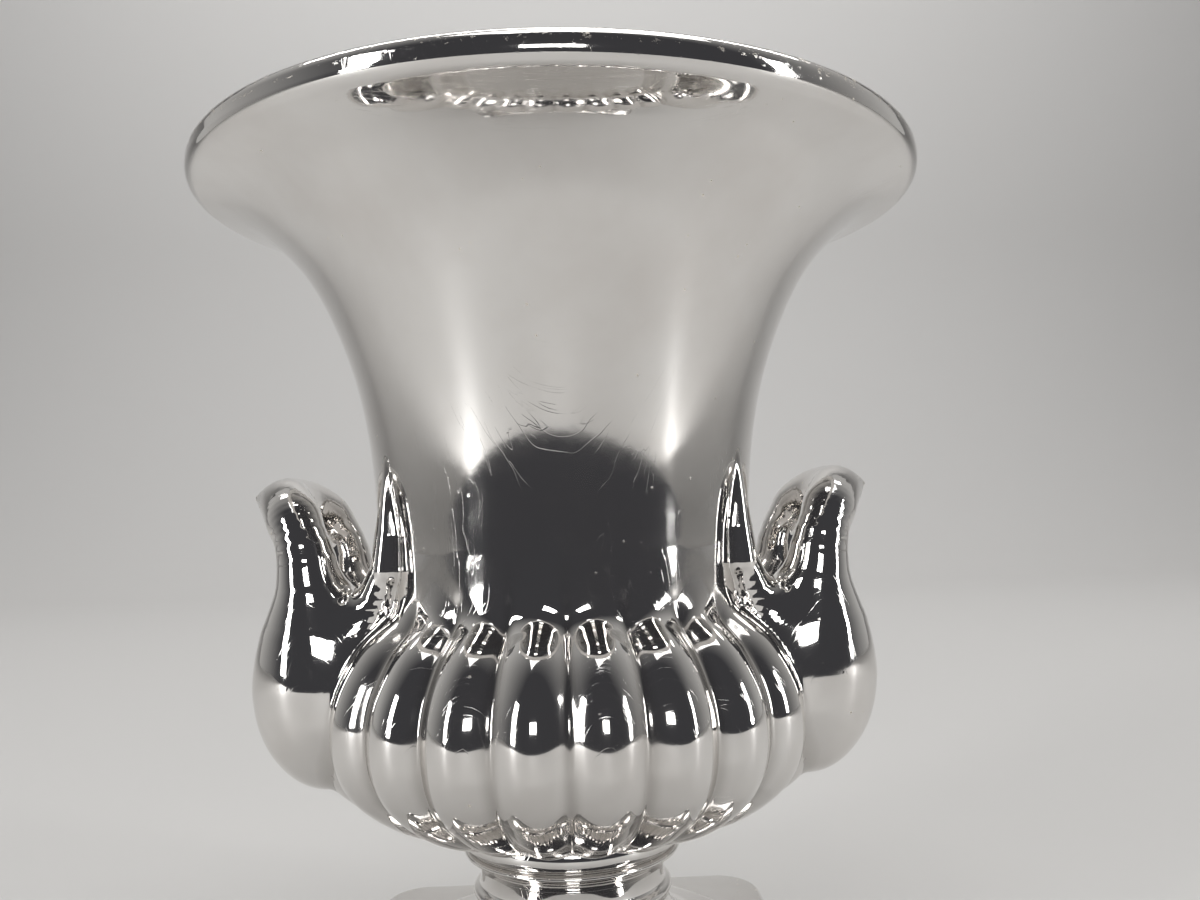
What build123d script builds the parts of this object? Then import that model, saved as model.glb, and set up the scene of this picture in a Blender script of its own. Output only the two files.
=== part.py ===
"""Lustreware urn vase: flared bell with a rolled lip, slim neck, lobed bulb,
two upswept loop handles, ringed socle and square plinth.  Millimetres, +Z up,
origin at the centre of the plinth's underside, handles along X, front at -Y."""
import math
import os

from build123d import *

# Driving sizes
RIM_RADIUS = 75.0        # outer radius of the rolled lip
WALL = 4.0               # pottery wall of body, socle and plinth
LIP_BEAD = 3.85          # the rolled lip's section: half its width, and its top above the middle
LIP_DEPTH = 6.5          # full height of the lip's oval section
LOBES = 24               # gadroons round the bulb, with a groove at the front
LOBE_DEPTH = 2.8         # crest to groove at the widest part of the bulb
HANDLE_SPREAD = 16.5     # front and rear strands sit this far each side of the middle
HANDLE_GIRTH = 1.0       # strand thickness factor
PLINTH_SIDE = 92.0       # square plinth, side
PLINTH_HEIGHT = 12.0     # square plinth, height
PLINTH_CORNER = 10.0     # radius of its upright corners
PLINTH_EDGE = 2.0        # rounding of its upper edge
SOCLE_BORE = 15.0        # radius of the hollow in the ringed stem

# Every shape below is drawn for a 75 mm rim and follows the rim radius
K = RIM_RADIUS / 75.0
LIP_Z = PLINTH_HEIGHT + 160.9 * K


def at(radius, below_lip):
    """Profile point: radius from the axis and height from the lip's middle."""
    return (radius * K, LIP_Z + below_lip * K)


def spin(face):
    """Turn a face drawn in X-Z once round the upright axis."""
    return revolve(Plane.XZ * face, Axis.Z)


# Bell and neck, solid outside shape
lip_half = LIP_DEPTH / 2
lip_middle = (RIM_RADIUS - LIP_BEAD, LIP_Z + LIP_BEAD - lip_half)
flare_top = (lip_middle[0] + LIP_BEAD * 0.34, lip_middle[1] - lip_half * 0.94)
flare = Spline(
    [
        flare_top,
        at(67.2, -4.4),
        at(61.5, -7.9),
        at(53.3, -16.5),
        at(46.9, -28.5),
        at(42.8, -40.5),
        at(40.4, -52.5),
        at(39.3, -64.0),
        at(39.1, -76.0),
        at(39.4, -92.0),
    ]
)
neck_foot = Polyline([at(39.4, -92.0), (0, LIP_Z - 92.0 * K), (0, LIP_Z), flare_top])
bell = spin(make_face(flare + neck_foot))
lip = spin(Pos(*lip_middle) * Ellipse(LIP_BEAD, lip_half))

# Lobed bulb: height, crest radius and share of the full lobe depth
BULB = [
    (-85.0, 35.5, 0.30),
    (-87.5, 42.0, 0.72),
    (-91.5, 47.6, 0.90),
    (-98.0, 51.4, 0.97),
    (-106.0, 53.2, 1.00),
    (-113.0, 52.1, 0.97),
    (-118.5, 48.8, 0.90),
    (-123.0, 43.6, 0.76),
    (-127.0, 36.9, 0.50),
    (-129.6, 31.0, 0.28),
    (-131.4, 24.0, 0.00),
]


def lobed_ring(height, crest, share):
    """One closed section of the bulb: an arc per lobe, meeting in grooves."""
    z = LIP_Z + height * K
    top = crest * K
    groove = top - LOBE_DEPTH * share
    half = math.pi / LOBES
    arcs = []
    for i in range(LOBES):
        a = 2 * half * (i + 0.5) - math.pi / 2
        ends = [
            (groove * math.cos(a - half), groove * math.sin(a - half), z),
            (top * math.cos(a), top * math.sin(a), z),
            (groove * math.cos(a + half), groove * math.sin(a + half), z),
        ]
        arcs.append(Edge.make_three_point_arc(*[Vector(*p) for p in ends]))
    return Wire(arcs)


bulb = Solid.make_loft([lobed_ring(*row) for row in BULB], False)
body_outside = bell + lip + bulb

# Inside of the bell, neck and bulb: one turned hollow
hollow_top = (lip_middle[0] - LIP_BEAD * 0.81, lip_middle[1] + lip_half * 0.58)
inner_neck = 39.1 * K - WALL
inner_bulb = 53.2 * K - LOBE_DEPTH - WALL
hollow_line = Spline(
    [
        hollow_top,
        at(64.5, -1.6),
        at(55.6 - 1.2, -9.6),
        (47.4 * K, LIP_Z - 18.4 * K),
        (inner_neck + 7.0 * K, LIP_Z - 29.5 * K),
        (inner_neck + 2.9 * K, LIP_Z - 41.5 * K),
        (inner_neck + 0.7 * K, LIP_Z - 54.0 * K),
        (inner_neck, LIP_Z - 68.0 * K),
        (inner_neck + 0.3 * K, LIP_Z - 84.0 * K),
        (inner_bulb - 3.6 * K, LIP_Z - 94.0 * K),
        (inner_bulb, LIP_Z - 105.5 * K),
        (inner_bulb - 4.6 * K, LIP_Z - 116.0 * K),
        (31.0 * K, LIP_Z - 122.4 * K),
        (17.0 * K, LIP_Z - 125.4 * K),
        (0, LIP_Z - 126.0 * K),
    ],
    tangents=[(-0.6, -0.8), (-1, 0)],
)
hollow_close = Polyline(
    [
        (0, LIP_Z - 126.0 * K),
        (0, LIP_Z + 20.0),
        (hollow_top[0], LIP_Z + 20.0),
        hollow_top,
    ]
)
hollow = spin(make_face(hollow_line + hollow_close))
urn_body = body_outside - hollow

# Handles.  Strand stations, drawn for the side at -X: outward distance, share
# of the spread, height, outward half width and crosswise half width
STRAND = [
    (48.8, 0.93, -106.0, 8.4, 8.6),
    (50.2, 0.97, -97.0, 8.4, 8.5),
    (50.0, 0.99, -89.0, 7.7, 7.8),
    (49.5, 1.02, -81.5, 6.5, 6.7),
    (50.1, 1.02, -75.0, 5.5, 5.7),
    (52.1, 0.94, -69.3, 4.9, 5.0),
    (54.8, 0.69, -65.1, 4.5, 4.5),
    (56.6, 0.34, -63.3, 4.3, 4.2),
    (57.0, 0.00, -62.8, 4.2, 4.1),
]
# Fin stations up the neck: outward distance, share of the spread, height,
# outward and crosswise half width
FIN = [
    (45.0, 0.96, -99.0, 7.4, 7.8),
    (40.8, 1.04, -91.0, 5.8, 6.0),
    (37.0, 1.14, -84.5, 4.3, 4.5),
    (34.6, 1.22, -78.0, 3.4, 3.5),
    (33.6, 1.25, -70.0, 2.8, 2.8),
    (33.6, 1.25, -62.5, 1.9, 1.9),
    (33.8, 1.23, -57.0, 0.9, 0.8),
]
# Bud stations, from the middle of the bow to its point
BUD = [
    (55.5, -63.9, 4.4, 7.0),
    (59.5, -63.2, 3.6, 5.0),
    (62.6, -62.9, 2.2, 2.6),
    (65.2, -62.7, 0.8, 0.9),
]


def ring(where, outward, crosswise):
    """Closed oval section on a plane, always starting on the outward side."""
    turns = [2 * math.pi * n / 12 for n in range(12)]
    points = [(outward * math.cos(t), crosswise * math.sin(t)) for t in turns]
    return where * make_face(Spline(points, periodic=True))


def oval(middle, direction, outward, crosswise):
    """Oval section square to a direction, first half width held outward."""
    d = Vector(*direction).normalized()
    side = Vector(-1, 0, 0)
    side = (side - d * side.dot(d)).normalized()
    return ring(Plane(origin=middle, x_dir=side, z_dir=d), outward, crosswise)


def strand_loop():
    """Front strand, bow and rear strand as one arched bar."""
    half = [
        ((-x * K, -HANDLE_SPREAD * s * K, LIP_Z + z * K), a, b) for x, s, z, a, b in STRAND
    ]
    rear = [((p[0], -p[1], p[2]), a, b) for p, a, b in reversed(half[:-1])]
    rows = half + rear
    sections = []
    for i, (p, a, b) in enumerate(rows):
        before = rows[max(i - 1, 0)][0]
        after = rows[min(i + 1, len(rows) - 1)][0]
        way = [after[n] - before[n] for n in range(3)]
        if i in (0, len(rows) - 1):
            way = [0, 0, way[2]]
        g = HANDLE_GIRTH * K
        sections.append(oval(p, way, a * g, b * g))
    return loft(sections)


def root_lobe(y):
    """Rounded lobe at a strand's foot, laid on the bulb."""
    ball = scale(Sphere(1.0), by=(14.3 * K, 11.2 * K, 19.6 * K))
    return Pos(-46.6 * K, y * 0.91, LIP_Z - 100.0 * K) * ball


def fin(y):
    """Tapering ridge from the strand's foot up the neck."""
    rows = []
    for x, share, z, a, b in FIN:
        rows.append(oval((-x * K, y * share, LIP_Z + z * K), (0, 0, 1), a * K, b * K))
    return loft(rows)


def bud():
    """Pointed bud on the outside of the bow."""
    rows = []
    for x, z, tall, wide in BUD:
        where = Plane(origin=(-x * K, 0, LIP_Z + z * K), x_dir=(0, 1, 0), z_dir=(-1, 0, 0))
        rows.append(ring(where, wide * K, tall * K))
    return loft(rows)


reach = HANDLE_SPREAD * K
handle_whole = strand_loop() + bud()
for y in (-reach, reach):
    handle_whole = handle_whole + root_lobe(y) + fin(y)
core = body_outside + hollow
handle_left = handle_whole - core
handle_right = mirror(handle_left, Plane.YZ)

# Ringed socle, hollow from below
socle_top = LIP_Z - 131.4 * K
socle_line = Polyline([(0, socle_top), at(22.6, -131.4)])
socle_line = socle_line + Spline(
    [at(22.6, -131.4), at(23.0, -133.0), at(22.4, -134.9), at(21.4, -135.4)]
)
socle_line = socle_line + ThreePointArc(at(21.4, -135.4), at(22.5, -136.1), at(21.4, -136.8))
socle_line = socle_line + Spline([at(21.4, -136.8), at(19.7, -138.4), at(19.1, -140.6)])
socle_line = socle_line + Line(at(19.1, -140.6), at(19.1, -143.2))
socle_line = socle_line + ThreePointArc(at(19.1, -143.2), at(20.6, -144.6), at(19.6, -146.0))
socle_line = socle_line + Spline(
    [at(19.6, -146.0), at(22.4, -151.0), at(29.0, -155.4), at(38.0, -157.6)]
)
socle_line = socle_line + ThreePointArc(
    at(38.0, -157.6), at(39.4, -158.3), at(39.9, -159.6)
)
socle_line = socle_line + Polyline(
    [at(39.9, -159.6), (39.9 * K, PLINTH_HEIGHT), (0, PLINTH_HEIGHT), (0, socle_top)]
)
socle_solid = spin(make_face(socle_line))
bore = SOCLE_BORE * K
socle_hollow_line = Polyline(
    [
        (0, PLINTH_HEIGHT - 1),
        (34.0 * K, PLINTH_HEIGHT - 1),
        (34.0 * K, PLINTH_HEIGHT),
    ]
)
socle_hollow_line = socle_hollow_line + Spline(
    [
        (34.0 * K, PLINTH_HEIGHT),
        (24.0 * K, PLINTH_HEIGHT + 3.2 * K),
        (17.2 * K, PLINTH_HEIGHT + 9.0 * K),
        (bore, PLINTH_HEIGHT + 15.0 * K),
    ]
)
socle_hollow_line = socle_hollow_line + Polyline(
    [
        (bore, PLINTH_HEIGHT + 15.0 * K),
        (bore, socle_top - WALL),
        (0, socle_top - WALL),
        (0, PLINTH_HEIGHT - 1),
    ]
)
socle = socle_solid - spin(make_face(socle_hollow_line))

# Square plinth, hollow underneath, with a round vent up into the socle
block = extrude(RectangleRounded(PLINTH_SIDE, PLINTH_SIDE, PLINTH_CORNER), PLINTH_HEIGHT)
block = fillet(block.edges().group_by(Axis.Z)[-1], PLINTH_EDGE)
under = PLINTH_SIDE - 2 * WALL * 1.3
recess = extrude(
    RectangleRounded(under, under, PLINTH_CORNER - WALL), PLINTH_HEIGHT - WALL * 1.1
)
vent = Pos(0, 0, PLINTH_HEIGHT / 2) * Cylinder(SOCLE_BORE * K * 0.9, PLINTH_HEIGHT * 2)
plinth = block - recess - vent

os.makedirs("parts", exist_ok=True)
export_step(urn_body, "parts/urn_body.step")
export_step(handle_left, "parts/handle_left.step")
export_step(handle_right, "parts/handle_right.step")
export_step(socle, "parts/socle.step")
export_step(plinth, "parts/plinth.step")
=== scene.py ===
"""Lustreware urn vase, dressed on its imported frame.

The body, socle and plinth are dense turned or moulded meshes and the handles are
cut from one smooth field that melts their strands, fins and buds together.  Work is
done in millimetres measured from the middle of the rolled lip, and turned into
metres when a mesh is made."""
import math

import bpy
import numpy as np
from mathutils import Matrix, Vector


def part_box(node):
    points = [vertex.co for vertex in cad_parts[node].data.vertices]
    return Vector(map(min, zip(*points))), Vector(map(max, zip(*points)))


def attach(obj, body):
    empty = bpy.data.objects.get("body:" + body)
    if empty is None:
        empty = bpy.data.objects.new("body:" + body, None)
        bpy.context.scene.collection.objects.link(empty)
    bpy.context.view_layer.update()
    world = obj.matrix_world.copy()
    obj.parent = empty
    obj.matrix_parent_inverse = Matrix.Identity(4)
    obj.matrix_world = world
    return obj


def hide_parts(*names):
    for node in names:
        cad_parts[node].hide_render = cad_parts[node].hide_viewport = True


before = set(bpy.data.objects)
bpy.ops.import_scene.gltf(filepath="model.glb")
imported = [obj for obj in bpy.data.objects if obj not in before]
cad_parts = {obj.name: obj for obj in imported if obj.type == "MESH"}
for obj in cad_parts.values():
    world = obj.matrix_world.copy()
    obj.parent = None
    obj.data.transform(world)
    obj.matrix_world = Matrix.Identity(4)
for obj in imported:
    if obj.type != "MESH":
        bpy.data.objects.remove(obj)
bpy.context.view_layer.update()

# Sizes read from the frame, in millimetres
MM = 0.001
_, body_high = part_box("urn_body")
plinth_low, plinth_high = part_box("plinth")
RIM_R = body_high[0] / MM
LIP_UP = 3.85
LIP_Z = body_high[2] / MM - LIP_UP
PLINTH_TOP = plinth_high[2] / MM - LIP_Z
PLINTH_LOW = plinth_low[2] / MM - LIP_Z
PLINTH_HALF = plinth_high[0] / MM
K = RIM_R / 75.0
WALL = 4.0               # pottery wall
LOBES = 24               # gadroons round the bulb, with a groove at the front
LOBE_DEPTH = 2.8         # crest to groove at the widest part of the bulb
VENT = 13.5              # radius of the hole between plinth and socle
SOCLE_BORE = 15.0        # radius of the hollow in the ringed stem
PLINTH_CORNER = 10.0     # radius of the plinth's upright corners
PLINTH_EDGE = 2.0        # rounding of its upper edge
PLINTH_FOOT = 0.8        # rounding of its lower edge


def new_mesh(name, points, faces, normals=None, smooth=True, marks=None):
    """Mesh object from points in the working frame, riding on the urn's body."""
    mesh = bpy.data.meshes.new(name)
    metres = np.array(points, dtype=float)
    metres[:, 2] += LIP_Z
    mesh.from_pydata((metres * MM).tolist(), [], [tuple(int(i) for i in f) for f in faces])
    mesh.validate()
    for polygon in mesh.polygons:
        polygon.use_smooth = smooth
    for key, values in (marks or {}).items():
        layer = mesh.attributes.new(key, "FLOAT", "POINT")
        layer.data.foreach_set("value", np.asarray(values, dtype=np.float32))
    mesh.update()
    if normals is not None:
        mesh.normals_split_custom_set_from_vertices(normals.tolist())
    thing = bpy.data.objects.new(name, mesh)
    bpy.context.scene.collection.objects.link(thing)
    return thing


def curve_through(points, count):
    """Natural cubic curve through points of any width, evenly spaced by length."""
    p = np.array(points, dtype=float)
    step = np.sqrt(np.linalg.norm(np.diff(p[:, :2], axis=0), axis=1) + 1e-9)
    t = np.concatenate([[0.0], np.cumsum(step)])
    n = len(t)
    h = np.diff(t)
    a = np.eye(n)
    b = np.zeros_like(p)
    for i in range(1, n - 1):
        a[i, i - 1], a[i, i], a[i, i + 1] = h[i - 1], 2 * (h[i - 1] + h[i]), h[i]
        b[i] = 6 * ((p[i + 1] - p[i]) / h[i] - (p[i] - p[i - 1]) / h[i - 1])
    m = np.linalg.solve(a, b)

    def at(u):
        i = np.clip(np.searchsorted(t, u, side="right") - 1, 0, n - 2)
        left, right = (u - t[i])[:, None], (t[i + 1] - u)[:, None]
        w = h[i][:, None]
        curve = m[i] * right**3 / (6 * w) + m[i + 1] * left**3 / (6 * w)
        curve += (p[i] / w - m[i] * w / 6) * right + (p[i + 1] / w - m[i + 1] * w / 6) * left
        return curve

    fine = at(np.linspace(0, t[-1], 40 * n))
    run = np.concatenate([[0], np.cumsum(np.linalg.norm(np.diff(fine[:, :2], axis=0), axis=1))])
    want = np.linspace(0, run[-1], count)
    return np.stack([np.interp(want, run, fine[:, k]) for k in range(p.shape[1])], axis=1)


# The lip's oval section: middle, half width and half height, and how square it is
LIP_MIDDLE = (RIM_R - LIP_UP, 0.6)
LIP_HALF = (LIP_UP, 3.25)
LIP_SQUARE = 2.5

# Outside line of bell and neck: radius and height
BELL = [
    (67.2, -4.4),
    (61.5, -7.9),
    (53.3, -16.5),
    (46.9, -28.5),
    (42.8, -40.5),
    (40.4, -52.5),
    (39.3, -64.0),
    (39.0, -74.0),
]
# Outside line of the bulb: crest radius and height, groove radius and height
SHOULDER = [
    (39.0, -74.0, 39.0, -74.0),
    (39.1, -81.0, 39.1, -81.5),
    (39.9, -85.0, 39.3, -86.0),
    (42.4, -87.4, 41.0, -88.9),
    (46.2, -90.4, 44.2, -91.9),
    (49.6, -94.8, 47.2, -95.8),
    (52.2, -100.3, 49.6, -100.8),
    (53.2, -106.5, 50.4, -106.6),
    (52.4, -112.5, 49.7, -112.0),
    (49.7, -117.8, 47.4, -116.8),
    (45.2, -122.2, 43.5, -120.9),
    (39.6, -125.9, 38.5, -124.7),
    (33.4, -128.7, 32.8, -127.9),
    (27.5, -130.5, 27.2, -130.1),
    (24.0, -131.2, 24.0, -131.2),
]
# Inside line of the whole body, from lip to floor
INSIDE = [
    (68.0, 2.4),
    (64.5, -1.6),
    (54.4, -9.6),
    (47.4, -18.4),
    (42.1, -29.5),
    (38.0, -41.5),
    (35.8, -54.0),
    (35.1, -68.0),
    (35.4, -84.0),
    (42.8, -94.0),
    (46.4, -105.5),
    (41.8, -116.0),
    (31.0, -122.4),
    (17.0, -125.4),
    (0.4, -126.0),
]


def scaled(rows):
    """Lines are drawn for a 75 mm rim."""
    return [tuple(v * K for v in row) for row in rows]


def lip_arc(start, stop, count):
    """Part of the lip's squarish oval section, by angle in degrees from its outer nose."""
    a = np.radians(np.linspace(start, stop, count))
    cos, sin = np.cos(a), np.sin(a)
    power = 2 / LIP_SQUARE
    r = LIP_MIDDLE[0] + LIP_HALF[0] * np.sign(cos) * np.abs(cos) ** power
    z = LIP_MIDDLE[1] + LIP_HALF[1] * np.sign(sin) * np.abs(sin) ** power
    return np.stack([r, z], axis=1)


# How rounded a groove's bottom is, and how much of a half circle a lobe's arc takes up
GROOVE_SOFT = 0.14
LOBE_BOW = 0.70


def lobe_share(phi):
    """0 on a lobe's crest and 1 in the groove, for round lobes side by side."""
    half = math.pi / LOBES
    t = np.abs(((phi + math.pi / 2) % (2 * half)) - half) / half
    t = 1 + GROOVE_SOFT * 0.6 - np.sqrt((1 - t) ** 2 + GROOVE_SOFT**2)
    return (1 - np.sqrt(1 - (LOBE_BOW * t) ** 2)) / (1 - math.sqrt(1 - LOBE_BOW**2))


def lobe_angles(per_lobe):
    """Angles round the bulb, closer together near the grooves."""
    half = math.pi / LOBES
    u = np.linspace(-1, 1, per_lobe, endpoint=False)
    t = np.sin(u * math.pi / 2) * 0.55 + u * 0.45
    turns = [(2 * half * (i + 0.5) - math.pi / 2) + half * t for i in range(LOBES)]
    return np.concatenate(turns)


def turned(name, rows, angles, marks=None):
    """Closed surface from rows of (points, z) rings; first and last rings are capped."""
    count = len(angles)
    points = np.concatenate(rows, axis=0)
    faces = []
    for j in range(len(rows) - 1):
        a = j * count
        b = a + count
        for i in range(count):
            n = (i + 1) % count
            faces.append((a + i, b + i, b + n, a + n))
    faces.append(tuple(range(count)))
    last = (len(rows) - 1) * count
    faces.append(tuple(reversed(range(last, last + count))))
    return new_mesh(name, points, faces, marks=marks)


def urn_body():
    """Bell, neck and lobed bulb as one hollow piece."""
    angles = lobe_angles(18)
    share = lobe_share(angles)
    inner = curve_through(scaled(INSIDE), 110)[::-1]
    lip = lip_arc(146, -68, 64)
    bell = curve_through([tuple(lip[-1])] + scaled(BELL), 120)
    bulb = curve_through(scaled(SHOULDER), 190)
    base = np.array([(23.6 * K, -131.4 * K), (12.0 * K, -131.4 * K), (0.4 * K, -131.4 * K)])
    line = np.concatenate([inner[:-1], lip, bell[1:]])
    rows = []
    wear, groove = [], []
    cos, sin = np.cos(angles), np.sin(angles)

    def ring(r, z):
        """One ring, with the slow unevenness of a hand-thrown pot."""
        sway = 0.06 * np.sin(2 * angles + z * 0.03) + 0.045 * np.sin(5 * angles - z * 0.07)
        out = np.asarray(r) + sway * np.clip(np.asarray(r) / 20.0, 0, 1)
        rows.append(np.stack([out * cos, out * sin, z + 0 * cos], axis=1))

    for r, z in line:
        ring(r, z)
        near_lip = math.hypot(r - LIP_MIDDLE[0], z - LIP_MIDDLE[1])
        on_lip = max(0.0, 1 - abs(near_lip - LIP_UP) / 1.6) * (0.8 if z > LIP_MIDDLE[1] else 0.35)
        wear.append(np.full(len(angles), on_lip))
        groove.append(np.zeros(len(angles)))
    for rc, zc, rg, zg in bulb[1:]:
        r = rc + share * (rg - rc)
        z = zc + share * (zg - zc)
        ring(r, z)
        depth = math.hypot(rc - rg, zc - zg) / LOBE_DEPTH
        wear.append((1 - share) * 0.3 * depth)
        # groove mark: painted shade in the deeper half of each lobe groove
        groove.append(np.clip(share - 0.55, 0, 1) * 2.2 * min(depth * 1.6, 1.0))
    for r, z in base:
        ring(r, z)
        wear.append(np.zeros(len(angles)))
        groove.append(np.zeros(len(angles)))
    # keep the uneven rim inside the frame's box
    everything = np.concatenate(rows)
    far = np.hypot(everything[:, 0], everything[:, 1])
    squeeze = np.minimum(1.0, RIM_R / np.maximum(far, 1e-6))
    everything[:, :2] *= squeeze[:, None]
    count = len(angles)
    rows = [everything[i : i + count] for i in range(0, len(everything), count)]
    marks = {"wear": np.concatenate(wear), "groove": np.concatenate(groove)}
    return turned("urn_body_lustre", rows, angles, marks)


def line_distance(points, line):
    """Signed distance in the r-z plane to an open line: negative on the axis side."""
    best = np.full(len(points), 1e9)
    sign = np.ones(len(points))
    for a, b in zip(line[:-1], line[1:]):
        ab = b - a
        ap = points - a
        t = np.clip((ap @ ab) / max(ab @ ab, 1e-12), 0, 1)
        d = np.hypot(ap[:, 0] - t * ab[0], ap[:, 1] - t * ab[1])
        side = ab[0] * ap[:, 1] - ab[1] * ap[:, 0]
        nearer = d < best
        best = np.where(nearer, d, best)
        sign = np.where(nearer, np.where(side > 0, 1.0, -1.0), sign)
    return best * sign


class BodyField:
    """Signed distance to the outside of neck and bulb, from a table in r and z."""

    R0, R1, Z0, Z1, STEP = 20.0, 80.0, -140.0, -44.0, 0.25

    def __init__(self):
        bell = curve_through(scaled(BELL), 60)[20:]
        bulb = curve_through(scaled(SHOULDER), 130)
        crest = np.concatenate([bell, bulb[1:, :2]])
        groove = np.concatenate([bell, bulb[1:, 2:]])
        r = np.arange(self.R0, self.R1, self.STEP)
        z = np.arange(self.Z0, self.Z1, self.STEP)
        grid = np.stack(np.meshgrid(r, z, indexing="ij"), axis=-1).reshape(-1, 2)
        shape = (len(r), len(z))
        self.crest = line_distance(grid, crest).reshape(shape)
        self.groove = line_distance(grid, groove).reshape(shape)

    def look(self, table, r, z):
        i = np.clip((r - self.R0) / self.STEP, 0, table.shape[0] - 1.001)
        j = np.clip((z - self.Z0) / self.STEP, 0, table.shape[1] - 1.001)
        i0, j0 = i.astype(int), j.astype(int)
        u, v = i - i0, j - j0
        low = table[i0, j0] * (1 - v) + table[i0, j0 + 1] * v
        high = table[i0 + 1, j0] * (1 - v) + table[i0 + 1, j0 + 1] * v
        return low * (1 - u) + high * u

    def __call__(self, p):
        r = np.hypot(p[:, 0], p[:, 1])
        share = lobe_share(np.arctan2(p[:, 1], p[:, 0]))
        crest = self.look(self.crest, r, p[:, 2])
        groove = self.look(self.groove, r, p[:, 2])
        return crest + share * (groove - crest)


def melt(a, b, width):
    """Smooth union of two fields: they flow together over a width."""
    h = np.clip(0.5 + 0.5 * (b - a) / width, 0, 1)
    return b + (a - b) * h - width * h * (1 - h)


# Handle lines for the side at -X: outward, crosswise, height, radius.  The strand
# rises to the bow, the fin runs up the neck, and the bud ends the bow in a point
STRAND = [
    (48.6, 15.4, -104.0, 8.6),
    (50.2, 15.9, -96.0, 8.4),
    (50.0, 16.3, -88.5, 7.7),
    (49.7, 16.8, -81.5, 6.6),
    (50.5, 16.9, -75.0, 5.6),
    (52.6, 15.6, -69.0, 4.9),
    (55.0, 11.4, -64.9, 4.5),
    (56.6, 5.6, -63.2, 4.3),
    (57.0, 0.0, -62.8, 4.2),
]
FIN = [
    (45.0, 15.8, -97.0, 7.4),
    (40.6, 17.2, -90.5, 5.6),
    (36.9, 18.8, -84.5, 4.3),
    (34.5, 20.1, -78.0, 3.4),
    (33.6, 20.7, -70.0, 2.8),
    (33.6, 20.6, -62.5, 1.9),
    (33.9, 20.2, -56.8, 0.6),
]
BUD = [
    (53.6, 13.6, -67.2, 4.6),
    (58.0, 7.2, -64.3, 3.9),
    (61.6, 2.6, -63.1, 2.5),
    (63.6, 0.4, -62.8, 1.4),
    (64.5, 0.0, -62.7, 0.8),
]
ROOT_MIDDLE = (46.6, 15.0, -100.0)
ROOT_HALF = (14.3, 11.2, 19.6)


def tube(p, line):
    """Distance to a round bar whose thickness changes along a line."""
    best = np.full(len(p), 1e9)
    for a, b in zip(line[:-1], line[1:]):
        ab = b[:3] - a[:3]
        ap = p - a[:3]
        t = np.clip((ap @ ab) / max(ab @ ab, 1e-12), 0, 1)
        d = np.linalg.norm(ap - t[:, None] * ab, axis=1) - (a[3] + t * (b[3] - a[3]))
        best = np.minimum(best, d)
    return best


class HandleField:
    """One handle at -X; front and rear are alike, so the crosswise value is folded."""

    def __init__(self, body):
        self.body = body
        self.strand = curve_through(scaled(STRAND), 34)
        self.fin = curve_through(scaled(FIN), 22)
        self.bud = curve_through(scaled(BUD), 16)

    def form(self, p):
        q = np.stack([-p[:, 0], np.abs(p[:, 1]), p[:, 2]], axis=1)
        half = np.array(ROOT_HALF) * K
        local = (q - np.array(ROOT_MIDDLE) * K) / half
        size = np.linalg.norm(local, axis=1) + 1e-9
        slope = np.linalg.norm(local / half, axis=1) + 1e-9
        root = size * (size - 1) / slope
        strand = tube(q, self.strand)
        bud = tube(q, self.bud)
        fin = tube(q, self.fin)
        shape = melt(strand, bud, 3.0)
        shape = melt(shape, root, 5.0)
        return melt(shape, fin, 3.6)

    def __call__(self, p):
        form = self.form(p)
        body = self.body(p)
        joined = melt(form, body, 1.5)
        shell = np.maximum(joined + 0.02, -(body + 0.8))
        return np.maximum(shell, form - 1.2)


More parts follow.
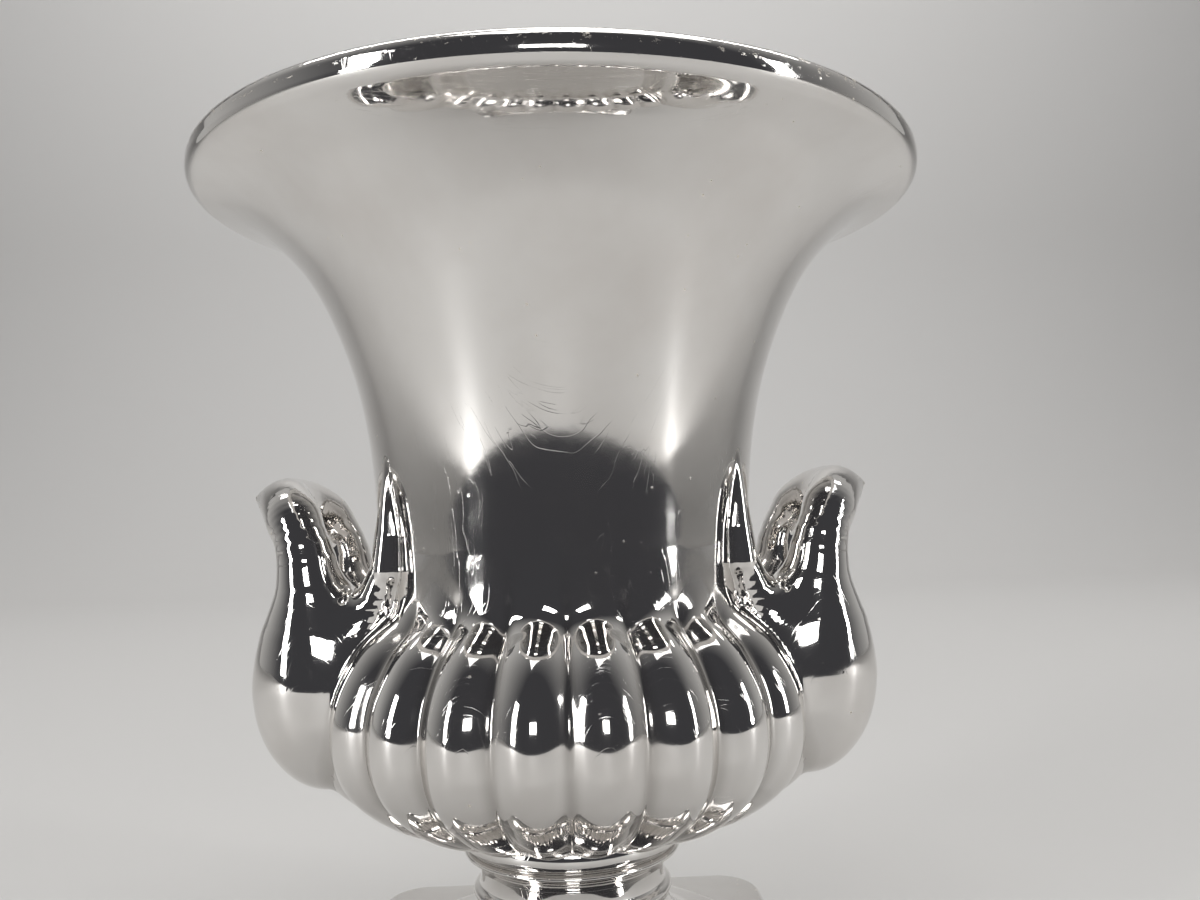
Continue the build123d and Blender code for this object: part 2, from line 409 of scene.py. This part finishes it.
def surface(field, low, high, step):
    """Quad mesh of a field's zero surface, drawn onto it, with its normals."""
    axes = [np.arange(low[k], high[k] + step, step) for k in range(3)]
    grid = np.stack(np.meshgrid(*axes, indexing="ij"), axis=-1)
    shape = grid.shape[:3]
    flat = grid.reshape(-1, 3)
    values = np.concatenate([field(part) for part in np.array_split(flat, 24)]).reshape(shape)
    inside = values < 0
    total = np.zeros(tuple(n - 1 for n in shape) + (3,))
    hits = np.zeros(tuple(n - 1 for n in shape))
    crossings = []
    for axis in range(3):
        a = [slice(None)] * 3
        b = [slice(None)] * 3
        a[axis], b[axis] = slice(0, -1), slice(1, None)
        va, vb = values[tuple(a)], values[tuple(b)]
        cut = inside[tuple(a)] != inside[tuple(b)]
        t = np.where(cut, va / np.where(cut, va - vb, 1.0), 0.0)
        place = grid[tuple(a)].copy()
        place[..., axis] += t * step
        others = [k for k in range(3) if k != axis]
        for u in (0, 1):
            for v in (0, 1):
                cell = [slice(None)] * 3
                edge = [slice(None)] * 3
                for k, shift in zip(others, (u, v)):
                    edge[k] = slice(1, None) if shift else slice(0, -1)
                chosen = cut[tuple(edge)]
                total[tuple(cell)] += np.where(chosen[..., None], place[tuple(edge)], 0.0)
                hits[tuple(cell)] += chosen
        crossings.append((axis, cut))
    used = hits > 0
    index = np.full(used.shape, -1)
    index[used] = np.arange(used.sum())
    points = total[used] / hits[used][:, None]
    faces = []
    for axis, cut in crossings:
        others = [k for k in range(3) if k != axis]
        spots = np.argwhere(cut)
        ok = np.all(spots[:, others] > 0, axis=1)
        ok &= np.all(spots[:, others] < np.array(shape)[others] - 1, axis=1)
        spots = spots[ok]
        corner = []
        for u, v in ((0, 0), (1, 0), (1, 1), (0, 1)):
            cell = spots.copy()
            cell[:, others[0]] -= u
            cell[:, others[1]] -= v
            corner.append(index[cell[:, 0], cell[:, 1], cell[:, 2]])
        quad = np.stack(corner, axis=1)
        outward = inside[spots[:, 0], spots[:, 1], spots[:, 2]]
        if axis == 1:
            outward = ~outward
        quad[~outward] = quad[~outward][:, ::-1]
        faces.append(quad)
    faces = np.concatenate(faces)

    def gradient(p):
        e = 0.05
        g = np.zeros_like(p)
        for k in range(3):
            d = np.zeros(3)
            d[k] = e
            g[:, k] = field(p + d) - field(p - d)
        return g / (2 * e)

    for _ in range(4):
        g = gradient(points)
        norm = np.maximum((g * g).sum(axis=1), 0.05)
        move = -(field(points) / norm)[:, None] * g
        reach = np.linalg.norm(move, axis=1, keepdims=True)
        points = points + move * np.minimum(1, 0.4 * step / np.maximum(reach, 1e-9))
    g = gradient(points)
    return points, faces, g / np.maximum(np.linalg.norm(g, axis=1, keepdims=True), 1e-9)


def handles():
    """Both handles; the right one mirrors the left."""
    field = HandleField(BodyField())
    step = 0.62
    low = np.array([-68.0, -31.0, -124.0]) * K
    high = np.array([-24.0, 31.0, -52.0]) * K
    points, faces, normals = surface(field, low, high, step)
    tip = np.clip((-points[:, 0] - 58.0 * K) / 6.0, 0, 1)
    tip *= np.clip((points[:, 2] + 70.0) / 6.0, 0, 1)
    # painted shade where a handle meets the body, carried in the groove mark
    near = np.clip(1 - field.body(points) / 1.6, 0, 1)
    made = []
    for name, flip in (("handle_left", 1), ("handle_right", -1)):
        side = np.array([flip, 1, 1])
        order = faces if flip == 1 else faces[:, ::-1]
        marks = {"wear": tip, "groove": near * 0.8}
        made.append(new_mesh(name + "_lustre", points * side, order, normals * side, marks=marks))
        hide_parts(name)
    return made


# Outside line of the ringed socle: radius and height
SOCLE = [
    (22.6, -131.4),
    (23.0, -133.0),
    (22.5, -134.8),
    (21.5, -135.5),
    (22.2, -135.9),
    (22.5, -136.4),
    (22.0, -136.9),
    (21.2, -137.1),
    (19.8, -138.4),
    (19.2, -140.4),
    (19.15, -142.8),
    (19.6, -143.4),
    (20.4, -143.9),
    (20.6, -144.7),
    (20.1, -145.6),
    (19.7, -146.2),
    (20.5, -148.6),
    (22.8, -151.6),
    (28.6, -155.3),
    (35.0, -157.0),
    (38.4, -157.7),
    (39.6, -158.6),
    (39.9, -159.8),
    (39.8, -160.6),
]


def socle():
    """Ringed socle, open and hollow from below."""
    angles = np.linspace(0, 2 * math.pi, 256, endpoint=False)
    outer = curve_through(scaled(SOCLE), 190)
    low = PLINTH_TOP
    inner = curve_through(
        [
            (34.0 * K, low),
            (24.0 * K, low + 3.2 * K),
            (17.2 * K, low + 9.0 * K),
            (SOCLE_BORE * K, low + 15.0 * K),
            (SOCLE_BORE * K, outer[0][1] - WALL),
        ],
        40,
    )[::-1]
    line = [(0.4 * K, outer[0][1])] + [tuple(p) for p in outer] + [(39.6 * K, low)]
    line += [tuple(p) for p in inner[::-1]] + [(0.4 * K, outer[0][1] - WALL)]
    rows = []
    wear, groove = [], []
    for r, z in line:
        rows.append(np.stack([r * np.cos(angles), r * np.sin(angles), z + 0 * angles], axis=1))
        wear.append(np.full(len(angles), 0.5 if z < -158 * K or -137 < z / K < -135.6 else 0.0))
        # groove mark: painted shade in the ring groove of the stem
        groove.append(np.full(len(angles), 1.0 if abs(z / K + 135.3) < 0.4 else 0.0))
    marks = {"wear": np.concatenate(wear), "groove": np.concatenate(groove)}
    return turned("socle_lustre", rows, angles, marks)


def plinth():
    """Square plinth with rounded corners, soft edges and a hollow underside."""
    corner, edge, bottom = PLINTH_CORNER, PLINTH_EDGE, PLINTH_FOOT
    per_corner = 20

    def outline(half, radius, z):
        """Rounded square, anticlockwise seen from above."""
        points = []
        for quarter in range(4):
            start = quarter * math.pi / 2
            mx = (half - radius) * (1 if quarter in (0, 3) else -1)
            my = (half - radius) * (1 if quarter in (0, 1) else -1)
            for i in range(per_corner + 1):
                a = start + (math.pi / 2) * i / per_corner
                points.append((mx + radius * math.cos(a), my + radius * math.sin(a), z))
            nxt = start + math.pi / 2
            nx = (half - radius) * (1 if (quarter + 1) % 4 in (0, 3) else -1)
            ny = (half - radius) * (1 if (quarter + 1) % 4 in (0, 1) else -1)
            a = np.array((mx + radius * math.cos(nxt), my + radius * math.sin(nxt), z))
            b = np.array((nx + radius * math.cos(nxt), ny + radius * math.sin(nxt), z))
            for i in range(1, 12):
                points.append(tuple(a + (b - a) * i / 12))
        return np.array(points)

    rows = []
    wear = []

    def add(half, radius, z, worn=0.0):
        rows.append(outline(half, radius, z))
        wear.append(np.full(len(rows[-1]), worn))

    vent = VENT * K
    add(vent, vent, PLINTH_TOP)
    for share in (0.25, 0.5, 0.75):
        half = vent + (PLINTH_HALF - edge - vent) * share
        add(half, vent + (corner - edge - vent) * share, PLINTH_TOP)
    for i in range(9):
        a = math.pi / 2 * (1 - i / 8)
        out = edge * (1 - math.cos(a))
        add(PLINTH_HALF - out, corner - out, PLINTH_TOP - edge * (1 - math.sin(a)), 0.55)
    for i in range(1, 6):
        z = PLINTH_TOP - edge + (PLINTH_LOW + bottom - PLINTH_TOP + edge) * i / 6
        add(PLINTH_HALF, corner, z)
    for i in range(5):
        a = math.pi / 2 * i / 4
        out = bottom * (1 - math.cos(a))
        add(PLINTH_HALF - out, corner - out, PLINTH_LOW + bottom * (1 - math.sin(a)), 0.8)
    rim = PLINTH_HALF - WALL * 1.3
    roof = PLINTH_TOP - WALL * 1.1
    add(rim + 0.5, corner - WALL + 0.5, PLINTH_LOW)
    add(rim, corner - WALL, PLINTH_LOW + 0.5)
    add(rim, corner - WALL, (PLINTH_LOW + roof) / 2)
    add(rim - 0.2, corner - WALL, roof - 0.8)
    add(rim - 1.0, corner - WALL, roof)
    add((rim + vent) / 2, (vent + corner) / 2, roof)
    add(vent, vent, roof)
    rows.append(rows[0])
    count = len(rows[0])
    points = np.concatenate(rows[:-1])
    wear = np.concatenate(wear)
    faces = []
    rings = len(rows) - 1
    for j in range(rings):
        a = j * count
        b = ((j + 1) % rings) * count
        for i in range(count):
            n = (i + 1) % count
            faces.append((a + i, b + i, b + n, a + n))
    marks = {"wear": wear, "groove": np.zeros(len(points))}
    return new_mesh("plinth_lustre", points, faces, marks=marks)


def node(tree, kind, **values):
    """Shader node with its inputs set by name or number."""
    made = tree.nodes.new(kind)
    for key, value in values.items():
        if key.startswith("in_"):
            spot = key[3:]
            made.inputs[int(spot) if spot.isdigit() else spot.replace("_", " ")].default_value = value
        else:
            setattr(made, key, value)
    return made


def silver_lustre():
    """Mirror-bright metal film on glaze: hairlines, pits, dull haze, wear, and painted shade in the
    grooves and where the handles meet the body.
    """
    material = bpy.data.materials.new("silver_lustre")
    material.use_nodes = True
    tree = material.node_tree
    link = tree.links.new
    shader = tree.nodes["Principled BSDF"]
    shader.inputs["Metallic"].default_value = 1.0
    place = node(tree, "ShaderNodeTexCoord")

    def mapped(scale, turn=(0, 0, 0)):
        m = node(tree, "ShaderNodeMapping")
        m.inputs["Scale"].default_value = scale
        m.inputs["Rotation"].default_value = turn
        link(place.outputs["Object"], m.inputs["Vector"])
        return m.outputs["Vector"]

    def ramp(source, low, high, out_low=0.0, out_high=1.0):
        r = node(tree, "ShaderNodeMapRange")
        r.inputs["From Min"].default_value = low
        r.inputs["From Max"].default_value = high
        r.inputs["To Min"].default_value = out_low
        r.inputs["To Max"].default_value = out_high
        link(source, r.inputs["Value"])
        return r.outputs["Result"]

    def math_node(operation, a, b):
        m = node(tree, "ShaderNodeMath", operation=operation)
        for spot, value in enumerate((a, b)):
            if isinstance(value, (int, float)):
                m.inputs[spot].default_value = value
            else:
                link(value, m.inputs[spot])
        return m.outputs[0]

    def noise(vector, scale, detail=3.0, rough=0.55):
        n = node(tree, "ShaderNodeTexNoise", in_Scale=scale, in_Detail=detail, in_Roughness=rough)
        link(vector, n.inputs["Vector"])
        return n.outputs["Fac"]

    # hairlines in several directions, each a narrow slice of stretched noise
    hair = None
    turns = ((0.3, 0.2, 0.5), (1.1, 0.4, 2.1), (0.7, 1.3, 3.9), (2.2, 0.1, 5.3))
    for i, turn in enumerate(turns):
        line = noise(mapped((28.0, 900.0, 60.0), turn), 1.0, 2.0, 0.5)
        thin = ramp(math_node("ABSOLUTE", math_node("SUBTRACT", line, 0.5), 0.0), 0.006, 0.0)
        patch = ramp(noise(mapped((1, 1, 1), (i, 2 * i, 0)), 70.0, 2.0), 0.52, 0.66)
        here = math_node("MULTIPLY", thin, patch)
        hair = here if hair is None else math_node("MAXIMUM", hair, here)

    # small pits and specks
    cells = node(tree, "ShaderNodeTexVoronoi", in_Scale=420.0, in_Randomness=1.0)
    link(mapped((1, 1, 1)), cells.inputs["Vector"])
    dot = ramp(cells.outputs["Distance"], 0.16, 0.05)
    some = ramp(noise(mapped((1, 1, 1), (1, 0, 2)), 160.0, 1.0), 0.60, 0.66)
    pits = math_node("MULTIPLY", dot, some)

    # worn flecks on rim, buds and edges, and painted shade in the grooves and handle joins
    wear = node(tree, "ShaderNodeAttribute", attribute_name="wear").outputs["Fac"]
    painted_groove_shade = node(tree, "ShaderNodeAttribute", attribute_name="groove").outputs["Fac"]
    fleck = noise(mapped((1, 1, 1.6)), 620.0, 5.0, 0.75)
    streak = noise(mapped((1, 1, 1), (2, 1, 0)), 120.0, 3.0, 0.6)
    edge = math_node("MULTIPLY", wear, math_node("ADD", streak, 0.45))
    worn = math_node("ADD", fleck, math_node("MULTIPLY", edge, 0.22))
    flecks = math_node("MULTIPLY", ramp(worn, 0.72, 0.80), ramp(wear, 0.1, 0.4))
    haze = ramp(noise(mapped((1, 1, 1), (0, 2, 1)), 34.0, 4.0, 0.62), 0.38, 0.72)

    # colour: cool-neutral silver, slightly warmer where the film is thin
    tone = node(tree, "ShaderNodeValToRGB")
    tone.color_ramp.elements[0].color = (0.80, 0.785, 0.765, 1)
    tone.color_ramp.elements[1].color = (0.725, 0.70, 0.675, 1)
    link(haze, tone.inputs["Fac"])
    # painted shade: a brown-grey mixed into the silver by the groove mark, so grooves and joins look
    # shadowed
    painted_shade_mix = node(tree, "ShaderNodeMix", data_type="RGBA")
    painted_shade_mix.inputs["B"].default_value = (0.23, 0.205, 0.18, 1)
    link(math_node("MULTIPLY", ramp(painted_groove_shade, 0.0, 1.0), 0.5), painted_shade_mix.inputs["Factor"])
    link(tone.outputs["Color"], painted_shade_mix.inputs["A"])
    spot = node(tree, "ShaderNodeMix", data_type="RGBA")
    spot.inputs["B"].default_value = (0.86, 0.80, 0.70, 1)
    specks = math_node("MULTIPLY", pits, 0.7)
    bare = math_node("MULTIPLY", flecks, 0.8)
    link(math_node("MAXIMUM", specks, bare), spot.inputs["Factor"])
    link(painted_shade_mix.outputs["Result"], spot.inputs["A"])
    link(spot.outputs["Result"], shader.inputs["Base Color"])

    rough = math_node("ADD", ramp(haze, 0.0, 1.0, 0.035, 0.105), math_node("MULTIPLY", hair, 0.10))
    rough = math_node("ADD", rough, math_node("MULTIPLY", math_node("MAXIMUM", pits, flecks), 0.35))
    rough = math_node("ADD", rough, math_node("MULTIPLY", painted_groove_shade, 0.08))
    link(rough, shader.inputs["Roughness"])

    waves = noise(mapped((1, 1, 0.6)), 46.0, 1.0, 0.4)
    fine = noise(mapped((1, 1, 1)), 300.0, 2.0, 0.5)
    height = math_node("ADD", math_node("MULTIPLY", waves, 1.0), math_node("MULTIPLY", fine, 0.05))
    height = math_node("SUBTRACT", height, math_node("MULTIPLY", hair, 0.05))
    height = math_node("SUBTRACT", height, math_node("MULTIPLY", pits, 0.22))
    height = math_node("SUBTRACT", height, math_node("MULTIPLY", flecks, 0.06))
    bump = node(tree, "ShaderNodeBump", in_Strength=0.35, in_Distance=0.00022)
    link(height, bump.inputs["Height"])
    link(bump.outputs["Normal"], shader.inputs["Normal"])
    return material


def plain(name, colour, rough):
    """Even matt finish for the stage."""
    material = bpy.data.materials.new(name)
    material.use_nodes = True
    shader = material.node_tree.nodes["Principled BSDF"]
    shader.inputs["Base Color"].default_value = (*colour, 1)
    shader.inputs["Roughness"].default_value = rough
    shader.inputs["Specular IOR Level"].default_value = 0.2
    return material


def make_urn():
    """All five pieces, each on its own node, in the one lustre."""
    lustre = silver_lustre()
    body, foot, base = urn_body(), socle(), plinth()
    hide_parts("urn_body")
    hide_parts("socle")
    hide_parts("plinth")
    for piece in [body, foot, base] + handles():
        piece.data.materials.append(lustre)
        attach(piece, "root")


# Camera of the photograph: distance and height in rim radii, angles in degrees
CAMERA_BACK = 2.8633
CAMERA_BELOW_LIP = 0.8766
CAMERA_YAW, CAMERA_PITCH, CAMERA_ROLL = 2.135, 3.1, -1.4765
FOCAL_SHARE = 1000.0 / 1200.0


def make_camera():
    """The photograph's camera, placed from the rim's size."""
    yaw, pitch, roll = (math.radians(a) for a in (CAMERA_YAW, CAMERA_PITCH, CAMERA_ROLL))
    ahead = Vector(
        (math.sin(yaw) * math.cos(pitch), math.cos(yaw) * math.cos(pitch), math.sin(pitch))
    )
    right = Vector((math.cos(yaw), -math.sin(yaw), 0))
    up = right.cross(ahead)
    side = right * math.cos(roll) + up * math.sin(roll)
    top = up * math.cos(roll) - right * math.sin(roll)
    data = bpy.data.cameras.new("camera")
    data.sensor_width = 36.0
    data.lens = 36.0 * FOCAL_SHARE
    data.clip_start = 0.01
    camera = bpy.data.objects.new("camera", data)
    turn = Matrix((side, top, -ahead)).transposed().to_4x4()
    eye = Vector((0, -CAMERA_BACK * RIM_R, LIP_Z - CAMERA_BELOW_LIP * RIM_R)) * MM
    camera.matrix_world = Matrix.Translation(eye) @ turn
    bpy.context.scene.collection.objects.link(camera)
    bpy.context.scene.camera = camera


def soft_box(name, place, target, width, height, power):
    """White area lamp aimed at a point; sizes in metres, power in watts."""
    data = bpy.data.lights.new(name, "AREA")
    data.shape = "RECTANGLE"
    data.size, data.size_y = width, height
    data.energy = power
    lamp = bpy.data.objects.new(name, data)
    way = Vector(target) - Vector(place)
    lamp.rotation_euler = way.to_track_quat("-Z", "Y").to_euler()
    lamp.location = place
    bpy.context.scene.collection.objects.link(lamp)


def make_stage():
    """Pale sweep that runs under the urn and curves up behind it, and a dim room in front."""
    floor = bpy.data.meshes.new("floor")
    # half width, front edge, start of the curve, its radius and the top, in metres
    wide, front, back_at, bend, top = 2.4, -0.62, 1.0, 0.6, 2.2
    line = [(front, 0.0), (back_at, 0.0)]
    for i in range(1, 17):
        a = math.pi / 2 * i / 16
        line.append((back_at + bend * math.sin(a), bend * (1 - math.cos(a))))
    line.append((back_at + bend, top))
    points = [(x, y, z) for y, z in line for x in (-wide, wide)]
    faces = [(2 * i, 2 * i + 1, 2 * i + 3, 2 * i + 2) for i in range(len(line) - 1)]
    floor.from_pydata(points, [], faces)
    for polygon in floor.polygons:
        polygon.use_smooth = True
    slab = bpy.data.objects.new("floor", floor)
    slab.data.materials.append(plain("floor_paint", (0.66, 0.65, 0.635), 0.6))
    bpy.context.scene.collection.objects.link(slab)
    soft_box("window_left", (-0.80, -0.62, 0.36), (0, 0, 0.12), 0.16, 0.62, 4.0)
    soft_box("window_right", (0.88, -0.44, 0.34), (0, 0, 0.12), 0.10, 0.58, 2.6)
    soft_box("ceiling", (0.1, -0.2, 1.3), (0, 0, 0.1), 0.9, 0.5, 3.4)
    soft_box("front_low", (0.0, -1.2, 0.42), (0, 0, 0.1), 0.34, 0.22, 2.0)
    soft_box("backdrop_wash", (0, 0.55, 1.75), (0, 1.5, 0.45), 2.4, 0.4, 20.0)
    world = bpy.data.worlds.new("room")
    bpy.context.scene.world = world
    world.use_nodes = True
    tree = world.node_tree
    back = tree.nodes["Background"]
    coord = node(tree, "ShaderNodeTexCoord")
    split = node(tree, "ShaderNodeSeparateXYZ")
    tree.links.new(coord.outputs["Generated"], split.inputs[0])
    shade = node(tree, "ShaderNodeValToRGB")
    shade.color_ramp.elements[0].position = 0.25
    shade.color_ramp.elements[0].color = (0.05, 0.05, 0.055, 1)
    shade.color_ramp.elements[1].position = 0.72
    shade.color_ramp.elements[1].color = (0.46, 0.455, 0.445, 1)
    half = node(tree, "ShaderNodeMath", operation="MULTIPLY_ADD", in_1=0.5, in_2=0.5)
    tree.links.new(split.outputs["Y"], half.inputs[0])
    tree.links.new(half.outputs[0], shade.inputs["Fac"])
    tree.links.new(shade.outputs["Color"], back.inputs["Color"])
    back.inputs["Strength"].default_value = 1.0
    bpy.context.scene.view_settings.view_transform = "Standard"


make_urn()
make_camera()
make_stage()
